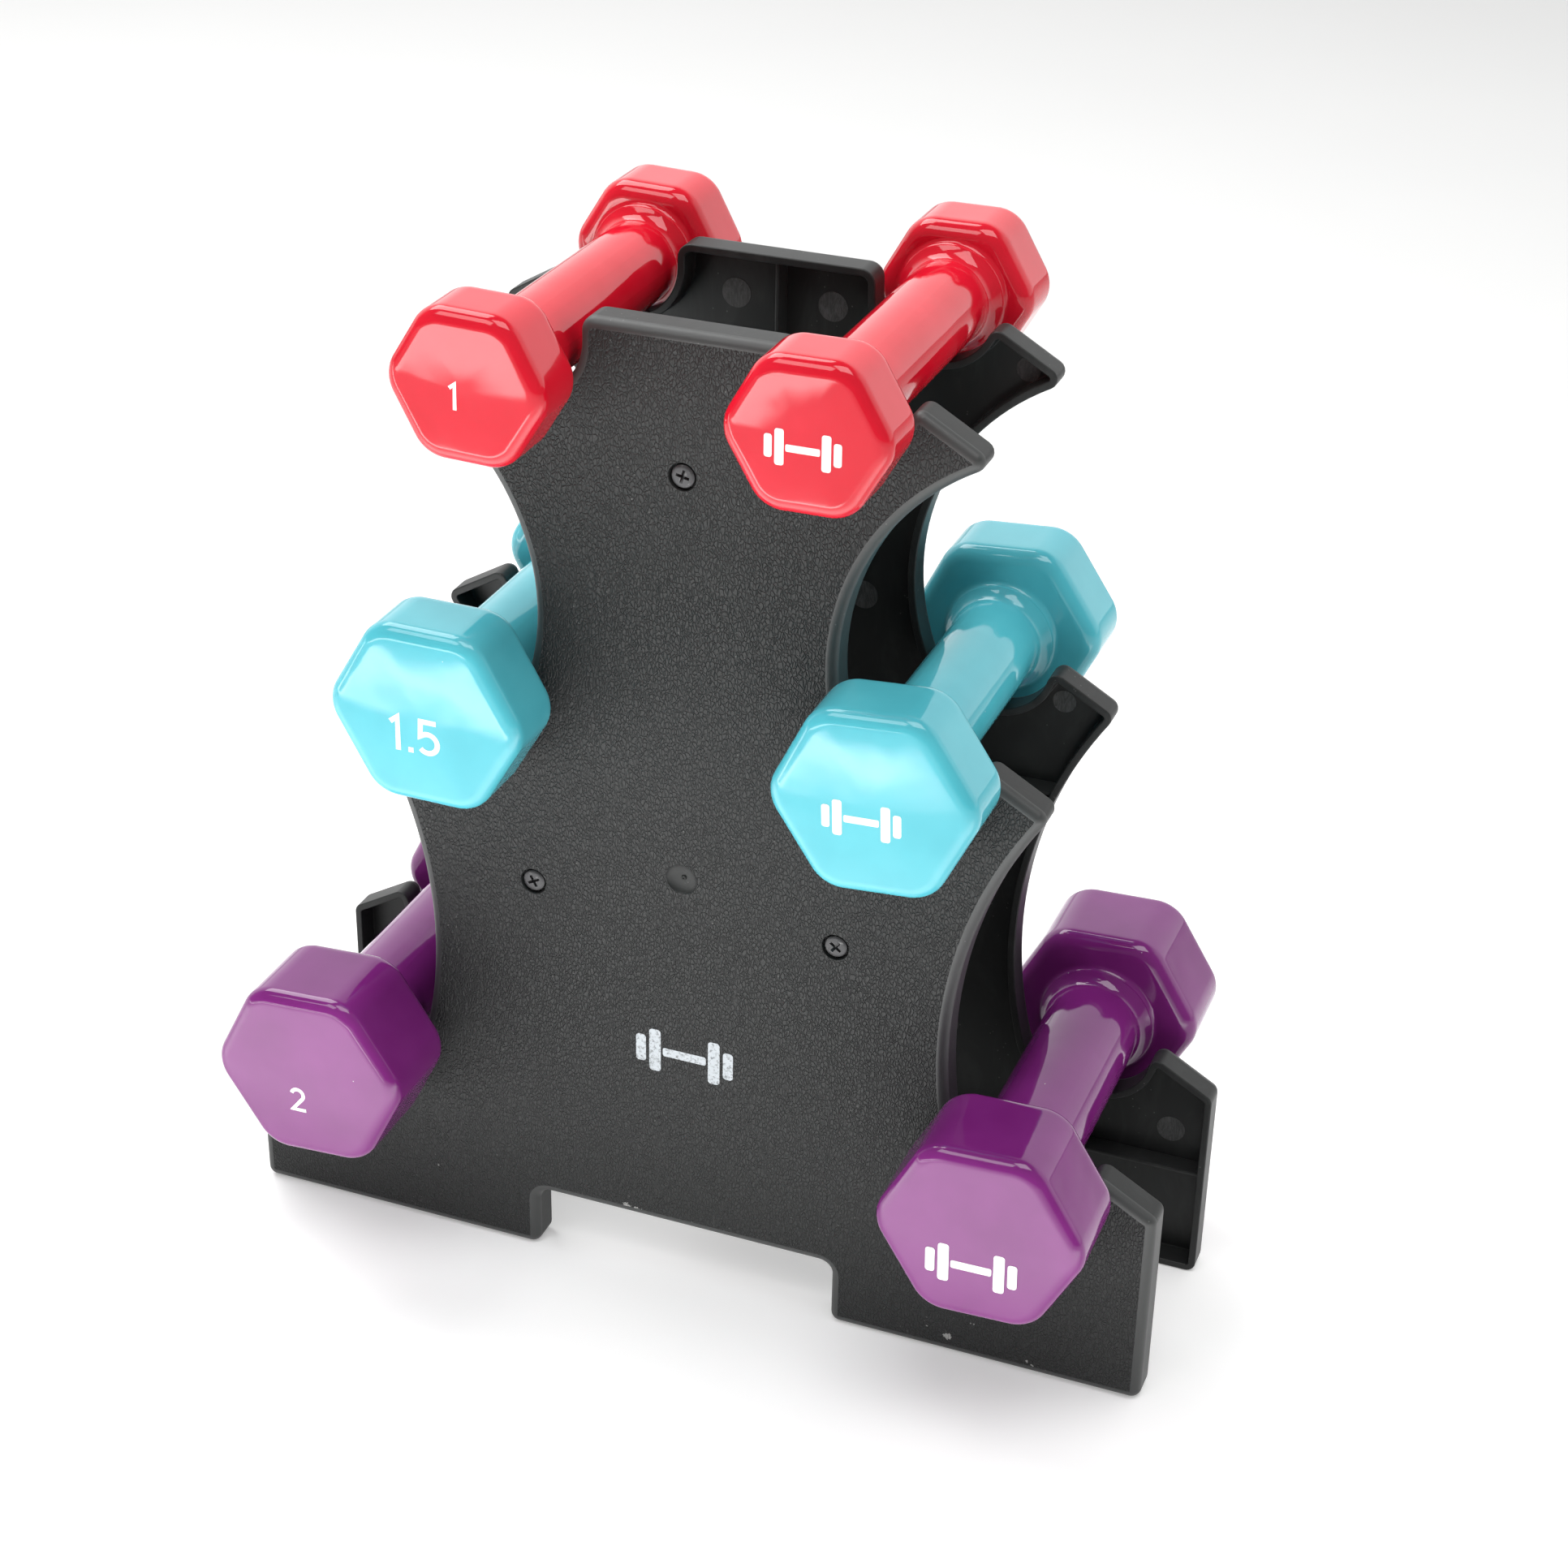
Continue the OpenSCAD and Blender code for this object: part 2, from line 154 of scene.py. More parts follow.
# ----------------------------------------------------------------- materials
def plastic(name, grained, sheen, lift=1.0, polish=0.0):
    """Charcoal moulded plastic, with leather grain or as satin.

    sheen is the specular level; lift scales the satin's tone, and a lift well above 1 paints a
    highlight; polish lowers its roughness.
    """
    s = Shader(name, IOR=1.49, Specular_IOR_Level=sheen)
    cloud = s.noise(28, 4, 0.6)
    tone = s.blend(cloud, rgb(0.0165, 0.0176, 0.0173), rgb(0.022, 0.0232, 0.0228))
    specks = s.node("TexVoronoi", Vector=s.where, Scale=420, Randomness=1.0)
    dust_here = s.math("GREATER_THAN", s.noise(61, 1), 0.60)
    dust = s.math("MULTIPLY", s.math("LESS_THAN", specks, 0.11), dust_here)
    if grained:
        # wrinkles about a millimetre wide, drawn out along Z
        drawn = s.stretch(1.0, 1.0, 0.55)
        drift = s.noise(420, 2, 0.5, drawn)
        bent = s.node("Mix", out=1, props={"data_type": "VECTOR"}, i0=0.0016, i4=drawn,
                      i5=s.node("TexNoise", out=1, Vector=drawn, Scale=420, Detail=1.0))
        cells = s.node("TexVoronoi", props={"feature": "DISTANCE_TO_EDGE"},
                       Vector=bent, Scale=980, Randomness=1.0)
        crease = s.span(cells, 0.0, 0.20, 0.0, 1.0)
        grain = s.math("MULTIPLY_ADD", drift, 0.55, crease)
        # painted shade: the creases of the grain are darkened, as if shadowed
        tone = s.blend(s.span(crease, 0.0, 0.6, 0.45, 0.0), tone, rgb(0.008, 0.009, 0.009))
        tone = s.blend(s.math("MULTIPLY", dust, 0.30), tone, rgb(0.25, 0.25, 0.24))
        # pale knocks near the lower edge
        height = s.node("SeparateXYZ", out=2, Vector=s.where)
        low = s.span(height, 0.012, 0.034, 1.0, 0.0)
        knocks = s.span(s.noise(310, 2, 0.7), 0.70, 0.74, 0.0, 1.0)
        knocks = s.math("MULTIPLY", knocks, s.math("MULTIPLY", low, dust_here))
        for at in SCUFFS:
            away = s.node("VectorMath", out=1, props={"operation": "DISTANCE"}, i0=s.where, i1=at)
            ragged = s.math("MULTIPLY_ADD", s.noise(700, 3, 0.8), -0.004, 0.0034)
            knocks = s.math("MAXIMUM", knocks, s.math("LESS_THAN", away, ragged))
        tone = s.blend(knocks, tone, rgb(0.36, 0.36, 0.35))
        normal = s.bump(grain, 0.85, 0.00030, s.bump(s.noise(95, 2), 0.20, 0.0002))
        rough = s.span(s.math("ADD", cloud, s.math("MULTIPLY", crease, -0.25)), 0.0, 1.0,
                       0.50, 0.62)
    else:
        # lift scales the tone; a lift well above 1 paints a highlight, as on the panel's rounded
        # edges
        tone = s.blend(1.0, tone, rgb(lift, lift, lift), "MULTIPLY")
        # swirls where the melt flowed, faint dust and rubbed spots
        rubbed = s.span(s.noise(190, 3, 0.6), 0.60, 0.78, 0.0, 1.0)
        flow = s.noise(70, 5, 0.65, s.stretch(1.0, 1.0, 0.35), 1.6)
        streak = s.span(flow, 0.50, 0.66, 0.0, 1.0)
        tone = s.blend(s.math("MULTIPLY", streak, 0.40), tone, rgb(0.040, 0.042, 0.041))
        tone = s.blend(s.math("MULTIPLY", dust, 0.30), tone, rgb(0.22, 0.22, 0.21))
        normal = s.bump(s.noise(900, 2), 0.06, 0.0001, s.bump(flow, 0.10, 0.0003))
        rough = s.math("ADD", s.span(flow, 0.2, 0.8, 0.46 - polish, 0.56 - polish),
                       s.math("MULTIPLY", rubbed, -0.06))
    return s.set(Base_Color=tone, Roughness=rough, Normal=normal)


def pin_face():
    """Matte faces left by the ejector pins, with scratches that run out from their middle."""
    s = Shader("ejector_pin_face", IOR=1.49)
    scratch = s.noise(520, 5, 0.75, s.stretch(1.0, 1.0, 0.25), 2.5)
    tone = s.blend(s.span(scratch, 0.42, 0.62, 0.0, 1.0), rgb(0.030, 0.031, 0.031),
                   rgb(0.070, 0.072, 0.071))
    return s.set(Base_Color=tone, Roughness=s.span(scratch, 0.3, 0.7, 0.55, 0.75),
                 Normal=s.bump(scratch, 0.25, 0.0001))


def vinyl(name, deep, pale):
    """Glossy dipped vinyl: a saturated skin with slow waves, pinholes and dust."""
    s = Shader(name, IOR=1.50)
    cloud = s.noise(36, 3, 0.55)
    tone = s.blend(s.span(cloud, 0.3, 0.7, 0.0, 1.0), deep, pale)
    specks = s.node("TexVoronoi", Vector=s.where, Scale=150, Randomness=1.0)
    few = s.math("GREATER_THAN", s.noise(47, 1), 0.62)
    dust = s.math("MULTIPLY", s.math("LESS_THAN", specks, 0.030), few)
    tone = s.blend(s.math("MULTIPLY", dust, 0.5), tone, rgb(0.85, 0.85, 0.85))
    waves = s.noise(70, 1, 0.4)
    slow = s.bump(waves, 0.30, 0.0004)
    normal = s.bump(dust, 0.20, 0.0001, s.bump(s.noise(19, 1, 0.4), 0.35, 0.0010, slow))
    rough = s.span(s.noise(90, 3, 0.6), 0.3, 0.7, 0.045, 0.085)
    return s.set(Base_Color=tone, Roughness=rough, Normal=normal)


def print_ink(name, colour, worn):
    """Printed ink, with missing flecks where worn is above 0."""
    s = Shader(name, IOR=1.48)
    fleck = s.span(s.noise(900, 3, 0.7), 0.60 - 0.10 * worn, 0.66, 0.0, 0.75 * worn)
    tone = s.blend(s.noise(140, 2), colour, rgb(*(0.90 * c for c in colour[:3])))
    tone = s.blend(fleck, tone, rgb(0.05, 0.052, 0.052))
    return s.set(Base_Color=tone, Roughness=s.span(s.noise(260, 2), 0.3, 0.7, 0.32, 0.46),
                 Normal=s.bump(s.noise(700, 2), 0.08, 0.0001))


def black_steel():
    """Black-oxide screw steel with faint turning marks."""
    s = Shader("screw_black_oxide", Metallic=0.6)
    turned = s.noise(1500, 2, 0.6)
    bare = s.span(s.noise(600, 3, 0.6), 0.62, 0.72, 0.0, 0.5)
    tone = s.blend(bare, s.blend(turned, rgb(0.040, 0.040, 0.042), rgb(0.070, 0.070, 0.072)),
                   rgb(0.24, 0.24, 0.24))
    return s.set(Base_Color=tone, Roughness=s.span(turned, 0.3, 0.7, 0.36, 0.50),
                 Normal=s.bump(turned, 0.12, 0.0001))


def cast_iron():
    """Sand-cast iron, sealed inside the vinyl."""
    s = Shader("cast_iron", Metallic=0.85)
    sand = s.noise(650, 6, 0.7)
    rust = s.span(s.noise(60, 4, 0.6), 0.58, 0.75, 0.0, 0.6)
    tone = s.blend(rust, s.blend(sand, rgb(0.07, 0.07, 0.072), rgb(0.16, 0.16, 0.165)),
                   rgb(0.11, 0.045, 0.02))
    return s.set(Base_Color=tone, Roughness=s.span(sand, 0.3, 0.7, 0.55, 0.8),
                 Normal=s.bump(sand, 0.6, 0.0004))


def spacer_plastic():
    """Smooth black plastic of the spacers, with faint draw marks along Y."""
    s = Shader("spacer_black_plastic", IOR=1.49)
    draw = s.noise(420, 3, 0.6, s.stretch(1.0, 0.05, 1.0))
    tone = s.blend(draw, rgb(0.020, 0.020, 0.021), rgb(0.032, 0.032, 0.033))
    return s.set(Base_Color=tone, Roughness=s.span(draw, 0.3, 0.7, 0.36, 0.48),
                 Normal=s.bump(draw, 0.10, 0.0002))


MAT = {
    "smooth": plastic("panel_satin_plastic", False, 0.25, 1.1, 0.10),
    # painted highlight: the rounded edges are a lighter copy of the satin plastic (lift 1.9)
    "edge": plastic("panel_rounded_edges_painted_highlight", False, 0.6, 1.9, 0.04),
    "grain": plastic("panel_leather_grain", True, 0.38),
    "pin": pin_face(),
    "spacer": spacer_plastic(),
    "screw": black_steel(),
    "iron": cast_iron(),
    "red": vinyl("vinyl_red", rgb(0.57, 0.005, 0.018), rgb(0.63, 0.010, 0.027)),
    "turquoise": vinyl("vinyl_turquoise", rgb(0.070, 0.42, 0.50), rgb(0.090, 0.48, 0.56)),
    "purple": vinyl("vinyl_purple", rgb(0.152, 0.012, 0.140), rgb(0.185, 0.020, 0.172)),
    "white_ink": print_ink("white_ink", rgb(0.88, 0.88, 0.87), 0.0),
    "silver_ink": print_ink("silver_ink", rgb(0.50, 0.54, 0.57), 1.0),
}


# -------------------------------------------------------------- mesh helpers
def new_object(name, verts, faces, materials, face_material=None):
    mesh = bpy.data.meshes.new(name)
    mesh.from_pydata([Vector(v) * MM for v in verts], [], faces)
    for m in materials:
        mesh.materials.append(m)
    if face_material:
        mesh.polygons.foreach_set("material_index", face_material)
    mesh.validate()
    made = bpy.data.objects.new(name, mesh)
    bpy.context.scene.collection.objects.link(made)
    return made


def outward(made):
    """Makes every face of a closed mesh look outward."""
    bm = bmesh.new()
    bm.from_mesh(made.data)
    bmesh.ops.recalc_face_normals(bm, faces=bm.faces)
    bm.to_mesh(made.data)
    bm.free()
    return made


def shade(made, sharp_angle):
    """Smooth shading, broken at edges sharper than sharp_angle degrees."""
    bm = bmesh.new()
    bm.from_mesh(made.data)
    for f in bm.faces:
        f.smooth = True
    limit = math.radians(sharp_angle)
    for e in bm.edges:
        e.smooth = len(e.link_faces) == 2 and e.calc_face_angle(0.0) < limit
    bm.to_mesh(made.data)
    bm.free()
    weigh = made.modifiers.new("even_normals", "WEIGHTED_NORMAL")
    weigh.keep_sharp, weigh.weight = True, 60
    return made


def loft(rings, closed_ends=True):
    """Vertices and faces of a skin through rings of equal point count."""
    verts = [p for ring in rings for p in ring]
    n = len(rings[0])
    faces = [(a * n + i, a * n + (i + 1) % n, (a + 1) * n + (i + 1) % n, (a + 1) * n + i)
             for a in range(len(rings) - 1) for i in range(n)]
    if closed_ends:
        faces.append(tuple(range(n - 1, -1, -1)))
        faces.append(tuple((len(rings) - 1) * n + i for i in range(n)))
    return verts, faces


def turned(profile, count=64):
    """Rings of a turned shape along z from (radius, z) pairs."""
    return [[(r * math.cos(TAU * i / count), r * math.sin(TAU * i / count), z)
             for i in range(count)] for r, z in profile]


def combine(target, tool, operation):
    """Adds or cuts tool, which is used up; its own material goes with it."""
    step = target.modifiers.new("step", "BOOLEAN")
    step.material_mode = "TRANSFER" if tool.data.materials else "INDEX"
    step.operation, step.solver, step.object = operation, "EXACT", tool
    graph = bpy.context.evaluated_depsgraph_get()
    made = bpy.data.meshes.new_from_object(target.evaluated_get(graph))
    target.modifiers.clear()
    old, target.data = target.data, made
    made.name = target.name
    bpy.data.meshes.remove(old)
    bpy.data.objects.remove(tool)


def tool_turned(profile, x, z, count=64, material=None):
    rings = [[(p[0] + x, p[1] + z, p[2]) for p in ring] for ring in turned(profile, count)]
    return outward(new_object("tool", *loft(rings), [material] if material else []))


def tool_rib(a, b, top=1.3, base=1.8, foot=1.5, crest=9.5):
    """A tapered rib with a rounded crest from a to b, points of the outline plane."""
    a, b = Vector(a), Vector(b)
    side = (b - a).normalized().orthogonal()
    section = [(-base / 2, foot), (base / 2, foot), (top / 2 + 0.05, crest - 0.5),
               (top / 2 - 0.15, crest - 0.12), (top / 2 - 0.42, crest),
               (-top / 2 + 0.42, crest), (-top / 2 + 0.15, crest - 0.12),
               (-top / 2 - 0.05, crest - 0.5)]
    rings = [[(end.x + side.x * s, end.y + side.y * s, d) for s, d in section] for end in (a, b)]
    return outward(new_object("tool", *loft(rings), []))


# --------------------------------------------------------- the panel outline
def polar(v):
    return math.degrees(math.atan2(v[1], v[0]))


def arc(c, r, a, b, n):
    angles = [math.radians(a + (b - a) * i / n) for i in range(n + 1)]
    return [(c[0] + r * math.cos(t), c[1] + r * math.sin(t)) for t in angles]


def minus(a, b):
    return (a[0] - b[0], a[1] - b[1])


def inner_centre(c, big_r, low):
    """Centre of a cradle's inner side, which runs smoothly into the hollow above."""
    rise = low + CRADLE_R - c[1]
    return (c[0] - math.sqrt((big_r - CRADLE_R) ** 2 - rise ** 2), low + CRADLE_R)


def edge_round(tip, c, r, side):
    """Centre of the rounding between a sloping edge and a round one."""
    nx, nz = math.sin(math.radians(SLOPE)), math.cos(math.radians(SLOPE))
    ux, uz = -nz, nx
    qx, qz = tip[0] - nx * CORNER_R, tip[1] - nz * CORNER_R
    fx, fz = qx - c[0], qz - c[1]
    b = fx * ux + fz * uz
    s = -b + side * math.sqrt(b * b - fx * fx - fz * fz + (r + CORNER_R) ** 2)
    return (qx + s * ux, qz + s * uz)


IN1 = (BLOCK_HALF + CRADLE_R, CRADLE_LOW[0] + CRADLE_R)
IN2 = inner_centre(HOLLOW_C1, HOLLOW_R1, CRADLE_LOW[1])
IN3 = inner_centre(HOLLOW_C2, HOLLOW_R2, CRADLE_LOW[2])
OUT1, OUT2, OUT3 = ((c[0] + w, c[1]) for c, w in zip((IN1, IN2, IN3), CRADLE_FLATS))
APEX1 = edge_round(HOOK_TIP1, OUT1, CRADLE_R, -1)
APEX2 = edge_round(HOOK_TIP2, OUT2, CRADLE_R, -1)
APEX3 = edge_round((HALF_W, FOOT_EDGE_Z), OUT3, CRADLE_R, -1)
TIP1 = edge_round(HOOK_TIP1, HOLLOW_C1, HOLLOW_R1, 1)
TIP2 = edge_round(HOOK_TIP2, HOLLOW_C2, HOLLOW_R2, 1)
TIP3 = (HALF_W - CORNER_R, FOOT_EDGE_Z + CORNER_R * math.tan(math.radians(SLOPE))
        - CORNER_R / math.cos(math.radians(SLOPE)))


def outline(d):
    """The whole outline moved inwards by d."""
    r, e = max(CORNER_R - d, 0.15), 90 - SLOPE
    out = CRADLE_R + d
    half = (
        arc((HALF_GAP - GAP_R, GAP_HEIGHT - GAP_R), GAP_R + d, 90, 0, 6)
        + arc((HALF_GAP + CORNER_R, CORNER_R), r, 180, 270, 6)
        + arc((HALF_W - CORNER_R, CORNER_R), r, 270, 360, 6)
        + arc(TIP3, r, 0, e, 5)
        + arc(APEX3, r, e, polar(minus(OUT3, APEX3)), 6)
        + arc(OUT3, out, polar(minus(APEX3, OUT3)) + 360, 270, 12)
        + arc(IN3, out, 270, polar(minus(IN3, HOLLOW_C2)) + 360, 14)
        + arc(HOLLOW_C2, HOLLOW_R2 + d, polar(minus(IN3, HOLLOW_C2)) + 360,
              polar(minus(TIP2, HOLLOW_C2)), 30)
        + arc(TIP2, r, polar(minus(HOLLOW_C2, TIP2)), e, 6)
        + arc(APEX2, r, e, polar(minus(OUT2, APEX2)), 6)
        + arc(OUT2, out, polar(minus(APEX2, OUT2)) + 360, 270, 12)
        + arc(IN2, out, 270, polar(minus(IN2, HOLLOW_C1)) + 360, 12)
        + arc(HOLLOW_C1, HOLLOW_R1 + d, polar(minus(IN2, HOLLOW_C1)) + 360,
              polar(minus(TIP1, HOLLOW_C1)), 30)
        + arc(TIP1, r, polar(minus(HOLLOW_C1, TIP1)), e, 6)
        + arc(APEX1, r, e, polar(minus(OUT1, APEX1)), 6)
        + arc(OUT1, out, polar(minus(APEX1, OUT1)) + 360, 270, 12)
        + arc(IN1, out, 270, 180, 14)
        + arc((BLOCK_HALF - BLOCK_R, HEIGHT - BLOCK_R), max(BLOCK_R - d, 0.4), 0, 90, 7)
    )
    return half + [(-x, z) for x, z in reversed(half)]


# -------------------------------------------------------------------- panels
FILLET_BANDS = 9


def panel_shell():
    """The shell lying on its outer face: x, z of the outline, then the depth."""
    steps = [(FILLET * (1 - math.sin(math.radians(a))), FILLET * (1 - math.cos(math.radians(a))))
             for a in (90 * i / FILLET_BANDS for i in range(FILLET_BANDS + 1))]
    steps += [(0.0, RIM - 0.55), (0.10, RIM - 0.25), (0.28, RIM - 0.08), (0.55, RIM),
              (WALL - 0.45, RIM), (WALL - 0.18, RIM - 0.08), (WALL, RIM - 0.35),
              (WALL, WALL + 0.7), (WALL + 0.18, WALL + 0.22), (WALL + 0.6, WALL)]
    rings = [[(x, z, depth) for x, z in outline(d)] for d, depth in steps]
    verts, faces = loft(rings)
    rounded = FILLET_BANDS * len(rings[0])
    # the rounded fillet bands take the lighter edge plastic, a painted highlight
    kinds = [2 if i < rounded else 0 for i in range(len(faces))]
    kinds[-2] = 1  # the outer face carries the grain
    return outward(new_object("front_panel_moulding", verts, faces,
                              [MAT["smooth"], MAT["grain"], MAT["edge"]], kinds))


def build_panels():
    shell = panel_shell()
    for z, reach in RIBS:
        combine(shell, tool_rib((-reach, z), (reach, z)), "UNION")
    combine(shell, tool_rib((0, GAP_HEIGHT + RIB_END), (0, HEIGHT - RIB_END)), "UNION")
    for x, z in SCREWS.values():
        combine(shell, tool_turned([(COLLAR_R + 0.25, 1.4), (COLLAR_R, 10.7),
                                    (COLLAR_R - 0.35, 11.0)], x, z), "UNION")
    for x, z, r in PIN_MARKS:
        combine(shell, tool_turned([(r, 2.0), (r, WALL + 0.10), (r - 0.12, WALL + 0.16)],
                                   x, z, 40, MAT["pin"]), "UNION")
    for x, z in SCREWS.values():
        combine(shell, tool_turned([(BORE_R, PAD_DEPTH), (BORE_R, 10.7), (BORE_R + 0.4, 11.2)],
                                   x, z), "DIFFERENCE")
        combine(shell, tool_turned([(RECESS_D / 2 + 0.35, -0.2), (RECESS_D / 2 + 0.16, 0.02),
                                    (RECESS_D / 2, 0.3), (RECESS_D / 2 - 0.05, RECESS_DEPTH)],
                                   x, z, 72), "DIFFERENCE")
        combine(shell, tool_turned([(2.2, 1.0), (2.2, 6.0)], x, z, 32), "DIFFERENCE")
    dish = [(DISH_R + 0.12, -0.3), (DISH_R, 0.0), (5.25, 0.30), (4.75, 0.62), (4.0, 0.92),
            (3.0, 1.14), (1.9, 1.25), (0.9, 1.28)]
    combine(shell, tool_turned(dish, *DISH_AT), "DIFFERENCE")
    nub = [(1.00, 1.7), (0.90, 1.10), (0.66, 0.80), (0.54, 0.74), (0.36, 0.80), (0.28, 1.05)]
    combine(shell, tool_turned(nub, DISH_AT[0] + 0.3, DISH_AT[1] + 0.2, 24), "UNION")

    front = shell
    rear_mesh = shell.data.copy()
    to_front = Matrix(((1, 0, 0, 0), (0, 0, 1, -HALF_DEPTH * MM), (0, 1, 0, 0), (0, 0, 0, 1)))
    to_rear = Matrix(((1, 0, 0, 0), (0, 0, -1, HALF_DEPTH * MM), (0, 1, 0, 0), (0, 0, 0, 1)))
    front.data.transform(to_front)
    rear_mesh.transform(to_rear)
    rear_mesh.name = "rear_panel_moulding"
    rear = bpy.data.objects.new("rear_panel_moulding", rear_mesh)
    bpy.context.scene.collection.objects.link(rear)
    for made, end in ((front, "front"), (rear, "rear")):
        shade(outward(made), 32)
        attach(made, "rack")
        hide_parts(f"{end}_face", f"{end}_rim", f"{end}_ribs",
                    *(f"collar_{end}_{place}" for place in SCREWS))


# -------------------------------------------------------------------- screws
def screw_template():
    """A recessed-head screw along z, its head's top at 0."""
    head = [(0.25, 0.0), (1.6, 0.02), (2.8, 0.10), (3.45, 0.26), (3.78, 0.52), (3.9, 0.85),
            (3.9, 2.25), (3.8, 2.44), (2.05, 2.44), (1.95, 2.7)]
    thread = []
    for k in range(11):
        z = 3.2 + 1.3 * k
        thread += [(1.62, z), (2.0, z + 0.45), (2.0, z + 0.60), (1.62, z + 1.05)]
    tail = [(1.55, 18.0), (1.1, 19.2), (0.6, 20.0)]
    screw = outward(new_object("screw", *loft(turned(head + thread + tail, 48)), [MAT["screw"]]))
    for turn in (0, 90):
        c, s = math.cos(math.radians(turn)), math.sin(math.radians(turn))
        rings = []
        for half_long, half_wide, z in ((2.35, 0.52, -0.3), (2.15, 0.46, 0.25), (0.95, 0.30, 1.5)):
            corners = ((-half_long, -half_wide), (half_long, -half_wide),
                       (half_long, half_wide), (-half_long, half_wide))
            rings.append([(x * c - y * s, x * s + y * c, z) for x, y in corners])
        combine(screw, outward(new_object("tool", *loft(rings), [])), "DIFFERENCE")
    return screw


def build_screws():
    template = screw_template()
    turns = {"top": 14, "left": 62, "right": 37}
    for side, sign in (("front", 1), ("rear", -1)):
        for place, (x, z) in SCREWS.items():
            made = bpy.data.objects.new(f"screw_{side}_{place}_steel", template.data.copy())
            bpy.context.scene.collection.objects.link(made)
            start = RECESS_DEPTH - 2.45
            made.data.transform(
                Matrix.Translation(Vector((x, -sign * (HALF_DEPTH - start), z)) * MM)
                @ Matrix.Rotation(math.radians(-90 * sign), 4, "X")
                @ Matrix.Rotation(math.radians(turns[place] + 20 * (sign < 0)), 4, "Z"))
            shade(made, 28)
            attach(made, "rack")
            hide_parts(f"screw_{side}_{place}")
    bpy.data.objects.remove(template)


# ----------------------------------------------------------------- dumbbells
CORNER_STEPS, SIDE_STEPS = 12, 6


def hexagon(flats, inset, corner):
    """Ring of a hexagon with rounded corners, moved inwards by inset."""
    a, r = flats / 2 - inset, max(corner - inset, 1.0)
    reach = (a - r) / math.cos(math.radians(30))
    ring = []
    for k in range(6):
        mid = 60 * k
        cx, cy = reach * math.cos(math.radians(mid)), reach * math.sin(math.radians(mid))
        for i in range(CORNER_STEPS + 1):
            t = math.radians(mid - 30 + 60 * i / CORNER_STEPS)
            ring.append((cx + r * math.cos(t), cy + r * math.sin(t)))
        t = math.radians(mid + 30)
        last = ring[-1]
        nxt = math.radians(mid + 60)
        end = (reach * math.cos(nxt) + r * math.cos(t), reach * math.sin(nxt) + r * math.sin(t))
        for i in range(1, SIDE_STEPS):
            w = i / SIDE_STEPS
            ring.append((last[0] + (end[0] - last[0]) * w, last[1] + (end[1] - last[1]) * w))
    return ring


def pull_round(ring, radius, share):
    """Moves a ring's points towards a circle of that radius."""
    moved = []
    for x, y in ring:
        k = radius / math.hypot(x, y)
        moved.append((x + (x * k - x) * share, y + (y * k - y) * share))
    return moved


def dumbbell_rings(pair):
    """Rings from the end face to the middle of the handle; z grows towards the handle."""
    outer, inner, crown, lift = 5.0, 5.4, 0.50, 0.04
    flats, head_len, grip_len, corner = pair.flats, pair.head_len, pair.grip_len, pair.corner
    grip = pair.grip_d / 2
    rings = []
    face = hexagon(flats, outer, corner)
    for share in (0.12, 0.3, 0.5, 0.7, 0.86, 0.96):
        sunk = lift + crown * share ** 2.4
        rings.append([(x * share, y * share, sunk) for x, y in face])
    for step in range(0, 11):
        t = math.radians(9 * step)
        rings.append([(x, y, lift + crown + (outer - lift - crown) * (1 - math.cos(t)))
                      for x, y in hexagon(flats, outer * (1 - math.sin(t)), corner)])
    for w in (0.06, 0.3, 0.5, 0.7, 0.94):
        z = outer + (head_len - outer - inner) * w
        rings.append([(x, y, z) for x, y in hexagon(flats, 0, corner)])
    for step in range(0, 11):
        t = math.radians(9 * step)
        rings.append([(x, y, head_len - inner + inner * math.sin(t))
                      for x, y in hexagon(flats, inner * (1 - math.cos(t)), corner)])
    shoulder = hexagon(flats, inner, corner)
    lip = grip + 5.2
    for share in (0.35, 0.7, 0.92, 1.0):
        rings.append([(x, y, head_len) for x, y in pull_round(shoulder, lip, share)])
    # a small fillet, the fine ring where two dips met, then the flare into the handle
    around = pull_round(shoulder, 1.0, 1.0)
    profile = [(lip - 1.9 * math.sin(math.radians(t)),
                head_len + 1.9 * (1 - math.cos(math.radians(t)))) for t in range(12, 85, 12)]
    profile += [(grip + 3.38, head_len + 1.85), (grip + 3.40, head_len + 1.98),
                (grip + 3.26, head_len + 2.08), (grip + 3.10, head_len + 2.20)]
    for step in range(1, 11):
        z = 2.2 + 4.8 * step / 10
        profile.append((grip + 3.10 * ((7.0 - z) / 4.8) ** 2.1, head_len + z))
    profile += [(grip, head_len + 9.0), (grip, head_len + 15.0),
                (grip, head_len + grip_len * 0.28), (grip, head_len + grip_len * 0.40)]
    rings += [[(x * r, y * r, z) for x, y in around] for r, z in profile]
    return rings


def place_of(pair, side):
    shift, roll = pair.lies[0 if side < 0 else 1]
    return (Matrix.Translation(Vector((side * pair.x, shift, pair.z)) * MM)
            @ Matrix.Rotation(math.radians(90), 4, "X")
            @ Matrix.Rotation(math.radians(roll), 4, "Z"))


def build_dumbbells():
    for colour, pair in PAIRS.items():
        half = dumbbell_rings(pair)
        middle = pair.head_len + pair.grip_len / 2
        near = [[(x, y, z - middle) for x, y, z in ring] for ring in half]
        far = [[(x, y, -z) for x, y, z in ring] for ring in reversed(near)]
        for side, word in ((-1, "left"), (1, "right")):
            made = outward(new_object(f"dumbbell_{colour}_{word}_vinyl", *loft(near + far),
                                      [MAT[colour]]))
            made.data.transform(place_of(pair, side))
            shade(made, 50)
            body = f"dumbbell_{colour}_{word}"
            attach(made, body)
            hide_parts(*(f"coat_{colour}_{word}_{end}" for end in ("front", "grip", "rear")))


# --------------------------------------------------------------------- marks
PRINT_OUT, PRINT_IN = 0.03, 0.14  # how far a print stands out and reaches in


